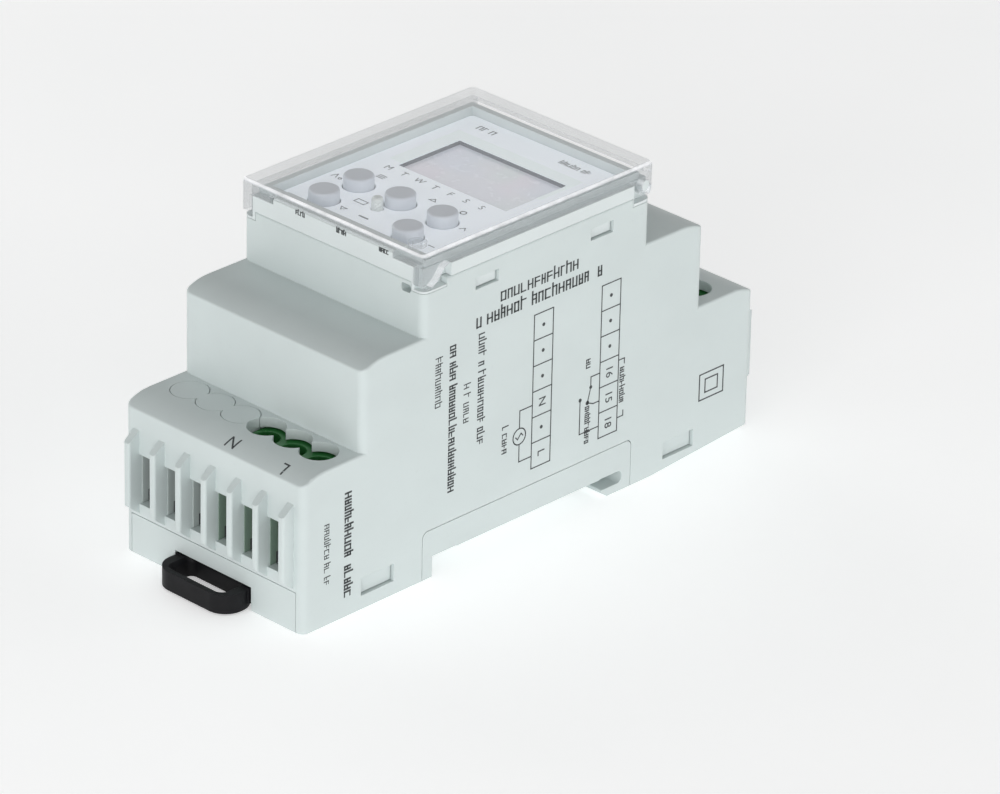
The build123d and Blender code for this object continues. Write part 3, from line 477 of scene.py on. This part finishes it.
class Print:
    """Ink on one flat face. Points are in millimetres along across and up, as the print is read."""

    def __init__(self, origin, across, up):
        self.origin = Vector(origin)
        self.across = Vector(across)
        self.up = Vector(up).normalized()
        self.out = self.across.cross(self.up)
        self.mesh = bmesh.new()

    def at(self, u, v, lift):
        return self.origin + (self.across * u + self.up * v + self.out * lift) * MM

    def slab(self, outline):
        """A closed, very thin slab with this outline."""
        bottom = [self.mesh.verts.new(self.at(u, v, -INK_SUNK)) for u, v in outline]
        top = [self.mesh.verts.new(self.at(u, v, INK_PROUD)) for u, v in outline]
        self.mesh.faces.new(bottom)
        self.mesh.faces.new(top)
        for i in range(len(outline)):
            j = (i + 1) % len(outline)
            self.mesh.faces.new((bottom[i], bottom[j], top[j], top[i]))

    def line(self, points, width=HAIRLINE):
        """Straight strokes through the points."""
        for (u0, v0), (u1, v1) in zip(points, points[1:]):
            length = math.hypot(u1 - u0, v1 - v0)
            du, dv = (u1 - u0) / length * width / 2, (v1 - v0) / length * width / 2
            start, end = (u0 - du, v0 - dv), (u1 + du, v1 + dv)
            self.slab(
                [
                    (start[0] + dv, start[1] - du),
                    (end[0] + dv, end[1] - du),
                    (end[0] - dv, end[1] + du),
                    (start[0] - dv, start[1] + du),
                ]
            )

    def box(self, u, v, width, height, stroke=HAIRLINE):
        """The outline of a box whose lower left corner is at (u, v)."""
        self.line([(u, v), (u + width, v), (u + width, v + height), (u, v + height), (u, v)], stroke)

    def dot(self, u, v, radius, sides=14):
        self.slab([(u + radius * math.cos(a), v + radius * math.sin(a)) for a in turns(sides)])

    def ring(self, u, v, radius, stroke=HAIRLINE, sides=28):
        points = [(u + radius * math.cos(a), v + radius * math.sin(a)) for a in turns(sides)]
        self.line([*points, points[0]], stroke)

    def letters(self, text, u, v, height):
        """Generic letters or numbers, centred on (u, v)."""
        curve = bpy.data.curves.new("letters", "FONT")
        curve.body = text
        curve.size = height * MM / CAP_HEIGHT
        curve.align_x = "CENTER"
        curve.align_y = "CENTER"
        curve.resolution_u = 3
        curve.extrude = (INK_PROUD + INK_SUNK) / 2 * MM
        holder = bpy.data.objects.new("letters", curve)
        bpy.context.scene.collection.objects.link(holder)
        solid = bpy.data.meshes.new_from_object(holder)
        middle = self.at(u, v, (INK_PROUD - INK_SUNK) / 2)
        turn = Matrix((self.across, self.up, self.out)).transposed().to_4x4()
        solid.transform(Matrix.Translation(middle) @ turn)
        self.mesh.from_mesh(solid)
        bpy.data.objects.remove(holder)
        bpy.data.curves.remove(curve)
        bpy.data.meshes.remove(solid)

    def filler(self, u, v, length, height, stroke, seed):
        """A row of meaningless upright strokes and ties, where the real product carries wording."""
        draw = random.Random(seed)
        here = u
        while here + height * 0.5 < u + length:
            if draw.random() < 0.15:
                here += height * 0.42
                continue
            width = height * draw.choice((0.32, 0.4, 0.48))
            tall = height * draw.choice((0.72, 0.72, 1.0))
            self.line([(here, v), (here, v + tall)], stroke)
            if draw.random() < 0.7:
                self.line([(here + width, v), (here + width, v + height * 0.72)], stroke)
            for level in draw.sample((0.0, 0.36, 0.72), draw.choice((1, 2))):
                self.line([(here, v + height * level), (here + width, v + height * level)], stroke * 0.75)
            here += width + height * 0.3

    def done(self, name, finish, body, slot):
        bmesh.ops.remove_doubles(self.mesh, verts=self.mesh.verts, dist=1e-7)
        return add_piece(name, self.mesh, finish, body)


def side_face():
    """Print on the +X side, read with the rail at the bottom."""
    return Print((SIDE_X, 0, 0), (0, 1, 0), (0, 0, 1))


def side_face_turned():
    """Print on the +X side, read from the +Y end: u runs down the side, and v towards +Y."""
    return Print((SIDE_X, 0, 0), (0, 0, -1), (0, 1, 0))


def add_side_wording():
    """Filler rows in place of the product's heading, ratings and addresses."""
    heading = side_face()
    heading.filler(-7.3, 35.2, 16.2, 1.75, 0.27, seed=3)
    heading.filler(-12.0, 32.6, 25.4, 1.85, 0.29, seed=8)
    heading.done("side_heading", DARK_INK_AND_SHADE, "root", "black_plastic")
    ratings = side_face_turned()
    for v, top, bottom, height, stroke, seed in RATING_ROWS:
        ratings.filler(-top, v, top - bottom, height, stroke, seed)
    ratings.done("side_ratings", DARK_INK_AND_SHADE, "root", "black_plastic")


def add_side_diagram():
    """Terminal boxes, the supply's circle, the relay's changeover contact and the double-square mark."""
    lines = side_face()
    dots = side_face_turned()
    for left, marks in zip(BOX_COLUMNS, BOX_MARKS):
        for row, mark in enumerate(marks):
            low = BOX_TOP - (row + 1) * BOX_H
            lines.box(left, low, BOX_W, BOX_H)
            if mark:
                dots.letters(mark, -(low + BOX_H / 2), left + BOX_W / 2, 1.35)
            else:
                lines.dot(left + BOX_W / 2, low + BOX_H / 2, 0.28)
    rows = [BOX_TOP - (row + 0.5) * BOX_H for row in range(len(BOX_MARKS[0]))]

    supply_y, supply_r = -3.1, 1.25
    row_n, row_l = rows[3], rows[5]
    supply_z = (row_n + row_l) / 2
    left = BOX_COLUMNS[0]
    lines.ring(supply_y, supply_z, supply_r)
    lines.line([(left, row_n), (supply_y, row_n), (supply_y, supply_z + supply_r)])
    lines.line([(left, row_l), (supply_y, row_l), (supply_y, supply_z - supply_r)])
    wave = [(supply_y + u, supply_z + 0.4 * math.sin(u * math.pi / 0.7)) for u in (-0.7, -0.35, 0, 0.35, 0.7)]
    lines.line(wave)

    row_16, row_15, row_18 = rows[3:]
    left = BOX_COLUMNS[1]
    near, pivot, far = left - 1.8, left - 2.4, left - 3.9
    lines.line([(left, row_16 + 0.4), (near, row_16 + 0.4), (near, row_16 - 1.0)])
    lines.dot(near, row_16 - 1.2, 0.28)
    lines.line([(left, row_15), (left - 1.2, row_15), (pivot, row_15 + 0.5), (left - 1.9, row_16 - 1.6)])
    lines.dot(pivot, row_15 + 0.5, 0.34)
    lines.line([(left, row_18), (far, row_18), (far, row_15 + 1.3)])
    lines.dot(far, row_15 + 1.4, 0.3)
    right = left + BOX_W
    stub = right + 1.2
    lines.line([(right, row_16 + 1.1), (stub, row_16 + 1.1), (stub, row_16 + 0.3)])
    lines.line([(right, row_18), (stub, row_18), (stub, row_18 + 0.8)])

    lines.box(34.0, 5.5, 5.0, 4.1, 0.2)
    lines.box(35.2, 6.5, 2.6, 2.1, 0.2)
    lines.done("side_diagram", DARK_INK_AND_SHADE, "root", "black_plastic")
    dots.done("side_terminal_numbers", DARK_INK_AND_SHADE, "root", "black_plastic")


def surface_height(name, x, y):
    """Height of the node's top surface over (x, y), found by looking straight down. All in millimetres."""
    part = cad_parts[name]
    turn = part.matrix_world.inverted()
    start = turn @ (Vector((x, y, 60)) * MM)
    down = turn.to_3x3() @ Vector((0, 0, -1))
    place = part.ray_cast(start, down)[1]
    return (part.matrix_world @ place).z / MM


def drape(ink_mesh, name):
    """Lifts a flat mesh, drawn at height 0, onto the node's top surface."""
    for corner in ink_mesh.verts:
        x, y, z = corner.co / MM
        corner.co.z += surface_height(name, x, y) * MM


def add_shelf_marks():
    """N and L draped on the front shelf, read from the upper end, and thin dark arcs of painted shade beside
    the blanking plugs at both ends.
    """
    shelf = Print((0, 0, 0), (-1, 0, 0), (0, -1, 0))
    shelf.letters("N", -2.2, 43.2, 1.9)
    shelf.letters("L", -12.4, 43.5, 1.9)
    bmesh.ops.subdivide_edges(shelf.mesh, edges=shelf.mesh.edges, cuts=2)
    drape(shelf.mesh, "housing")
    shelf.done("front_terminal_letters", DARK_INK_AND_SHADE, "root", "black_plastic")
    # Dark arcs of painted shade on one side of each blanking plug.
    for end in (-1, 1):
        plug_shade = Print((0, 0, 0), (1, 0, 0), (0, 1, 0))
        for pole in POLES[:3]:
            for start, stop in ((30, 80), (203, 240)):
                arc = [math.radians(start + (stop - start) * i / 6) for i in range(7)]
                x, y, r = pole * PITCH, end * SCREW_Y, PLUG_R
                plug_shade.line([(x + r * math.cos(a), y + r * math.sin(a)) for a in arc], 0.13)
        drape(plug_shade.mesh, "housing")
        plug_shade.done("front_plug_shade" if end < 0 else "rear_plug_shade", DARK_INK_AND_SHADE, "root", "black_plastic")


def add_slot_shade_sheets():
    """Painted shade down both walls of each wire slot, as thin sheets, tinted green where the pole is live to
    stand in for light from the green terminal block behind, with a dark block of painted shade at each foot.
    """
    low, high = SLOT_Z
    for end, where in ((-1, "front"), (1, "rear")):
        for kind, poles, finish, slot in (
            ("blank", POLES[:3], BLANK_SHADE_SHEET, "housing_plastic"),
            ("live", POLES[3:], LIVE_SHADE_SHEET, "terminal_green"),
        ):
            shade_sheet, foot_shade = bmesh.new(), bmesh.new()
            for pole in poles:
                for side in (-1, 1):
                    x = pole * PITCH + side * (SLOT_HALF - SHADE_SHEET_T / 2)
                    middle = (x, end * SHADE_SHEET_Y, (low + high) / 2)
                    block(shade_sheet, middle, (SHADE_SHEET_T, SHADE_SHEET_DEPTH, high - low - 0.1))
                    # A dark block at the slot's foot: painted shade.
                    block(foot_shade, (x - side * 0.09, end * 43.0, low + 0.95), (0.1, 0.9, 1.7))
            add_piece(f"{where}_{kind}_slot_shade_sheets", shade_sheet, finish, "root")
            add_piece(f"{where}_{kind}_slot_foot_shade", foot_shade, DARK_INK_AND_SHADE, "root")


def add_panel_print():
    """Weekday letters, plain key symbols and filler rows on the front label."""
    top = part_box("display_label")[1].z
    panel = Print((0, 0, top), (1, 0, 0), (0, 1, 0))
    days = "MTWTFSS"
    for i, day in enumerate(days):
        panel.letters(day, DAY_X[0] + (DAY_X[1] - DAY_X[0]) * i / (len(days) - 1), DAY_ROW_Y, 1.15)
    panel.line([(-14.2, -8.9), (-13.75, -7.9), (-13.3, -8.9)], 0.15)
    panel.ring(-12.6, -8.75, 0.24, 0.13, 14)
    for i in range(3):
        panel.line([(-9.7, -4.5 + i * 0.4), (-8.4, -4.5 + i * 0.4)], 0.15)
    panel.line([(0.8, -4.6), (1.4, -3.9), (2.0, -4.6), (0.8, -4.6)], 0.15)
    panel.ring(7.15, -4.25, 0.45, 0.15)
    panel.line([(10.35, -8.3), (10.85, -7.6), (11.35, -8.3)], 0.15)
    panel.box(-6.05, -12.45, 1.9, 0.95, 0.15)
    panel.line([(-2.0, -15.3), (-0.5, -15.3)], 0.3)
    panel.line([(-5.9, -15.0), (-5.35, -15.7), (-4.8, -15.0), (-5.9, -15.0)], 0.15)
    panel.line([(11.2, -15.1), (12.2, -15.1)], 0.18)
    panel.done("panel_symbols", GREY_INK, "root", "black_plastic")
    rows = Print((0, 0, top), (1, 0, 0), (0, 1, 0))
    rows.filler(-12.6, 17.2, 6.4, 1.35, 0.2, seed=31)
    rows.filler(4.6, 17.3, 6.0, 1.1, 0.16, seed=35)
    rows.done("panel_filler", GREY_INK, "root", "black_plastic")


def add_window_border():
    """A pale border behind and beside the display, and a dark sheet of painted shade on the window's rear and
    left walls.
    """
    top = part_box("display_label")[1].z
    border = Print((0, 0, top - INK_PROUD / 2 * MM), (1, 0, 0), (0, 1, 0))
    (x0, x1), (y0, y1) = WINDOW_X, WINDOW_Y
    wide, deep = 2.5, 2.4
    for corners in (
        ((x0 - wide, y0 + 0.6), (x0, y0 + 0.6), (x0, y1), (x0 - wide, y1)),
        ((x0 - wide, y1), (x1 + 0.9, y1), (x1 + 0.9, y1 + deep), (x0 - wide, y1 + deep)),
        ((x1, y0 + 6), (x1 + 0.9, y0 + 6), (x1 + 0.9, y1), (x1, y1)),
    ):
        border.slab(corners)
    border.done("window_border", BORDER_INK, "root", "label_film")
    thick, deep = 0.17, 0.7
    height = top / MM - 0.12 - deep / 2
    wall_shade = bmesh.new()
    block(wall_shade, (x0 + thick / 2, (y0 + y1) / 2, height), (thick, y1 - y0, deep))
    block(wall_shade, ((x0 + thick + x1) / 2, y1 - thick / 2, height), (x1 - x0 - thick, thick, deep))
    add_piece("window_wall_shade", wall_shade, WINDOW_WALL_SHADE, "root")


def add_lip_marks():
    """Short filler groups on the front lip of the fascia, under the cover's edge."""
    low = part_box("front_fascia")[0]
    lip = Print((0, low.y, 0), (1, 0, 0), (0, 0, 1))
    for i, centre in enumerate((-6.2, 1.8, 9.8)):
        lip.filler(centre - 1.0, 44.75, 2.1, 0.7, 0.16, seed=41 + i)
    lip.done("lip_marks", DARK_INK_AND_SHADE, "root", "black_plastic")


def add_surroundings():
    """Pale at the horizon and dim above, so that the top faces stay darker than the walls."""
    world = bpy.data.worlds.new("studio")
    world.use_nodes = True
    tree = world.node_tree
    towards = tree.nodes.new("ShaderNodeTexCoord")
    parts = tree.nodes.new("ShaderNodeSeparateXYZ")
    fall = tree.nodes.new("ShaderNodeValToRGB")
    tree.links.new(towards.outputs["Generated"], parts.inputs[0])
    tree.links.new(parts.outputs[2], fall.inputs[0])
    tree.links.new(fall.outputs[0], tree.nodes["Background"].inputs[0])
    ramp = fall.color_ramp.elements
    for place, level in SKY[1:-1]:
        ramp.new(place)
    for stop, (place, level) in zip(ramp, SKY):
        stop.position = place
        stop.color = (level, level, level, 1)
    bpy.context.scene.world = world
    bpy.context.scene.view_settings.view_transform = "Standard"


def add_floor():
    """A plain pale floor at the level of the timer's feet."""
    m = Recipe("floor_finish")
    pale = m.mix(m.spread(m.noise(60, 4), 0.0, 1.0), (0.9, 0.91, 0.91), (0.93, 0.935, 0.935))
    m.set(Emission_Color=(1, 1, 1, 1), Emission_Strength=0.42)
    m.bump(m.noise(1.5, 3), 0.01)
    finish = m.finish(pale, m.spread(m.noise(20, 3), 0.75, 0.9))
    ground = bmesh.new()
    corners = [(x * FLOOR_HALF, y * FLOOR_HALF) for x, y in ((-1, -1), (1, -1), (1, 1), (-1, 1))]
    ground.faces.new([ground.verts.new((x, y, cad_low.z)) for x, y in corners])
    data = bpy.data.meshes.new("floor")
    ground.to_mesh(data)
    ground.free()
    data.materials.append(finish)
    floor = bpy.data.objects.new("floor", data)
    bpy.context.scene.collection.objects.link(floor)


def add_lamps():
    """Large soft lamps, all aimed at the timer."""
    for name, azimuth, elevation, wide, power in LAMPS:
        data = bpy.data.lights.new(name, "AREA")
        data.shape = "RECTANGLE"
        data.size = wide
        data.size_y = LAMP_HEIGHT
        data.energy = power
        lamp = bpy.data.objects.new(name, data)
        back = direction(azimuth, elevation)
        lamp.location = AIM + back * LAMP_DISTANCE
        lamp.rotation_mode = "QUATERNION"
        lamp.rotation_quaternion = (-back).to_track_quat("-Z", "Y")
        bpy.context.scene.collection.objects.link(lamp)


def add_camera():
    """A raised corner view, from far enough away to be nearly parallel."""
    data = bpy.data.cameras.new("camera")
    data.lens = LENS
    data.clip_start = 0.05
    data.clip_end = 20
    camera = bpy.data.objects.new("camera", data)
    back = direction(AZIMUTH, ELEVATION)
    camera.location = AIM + back * DISTANCE
    camera.rotation_mode = "QUATERNION"
    level = (-back).to_track_quat("-Z", "Y")
    camera.rotation_quaternion = Quaternion(back, math.radians(ROLL)) @ level
    bpy.context.scene.collection.objects.link(camera)
    bpy.context.scene.camera = camera


add_camera()
add_surroundings()
add_floor()
add_lamps()
dress_nodes()
add_side_wording()
add_side_diagram()
add_shelf_marks()
add_slot_shade_sheets()
add_panel_print()
add_window_border()
add_lip_marks()
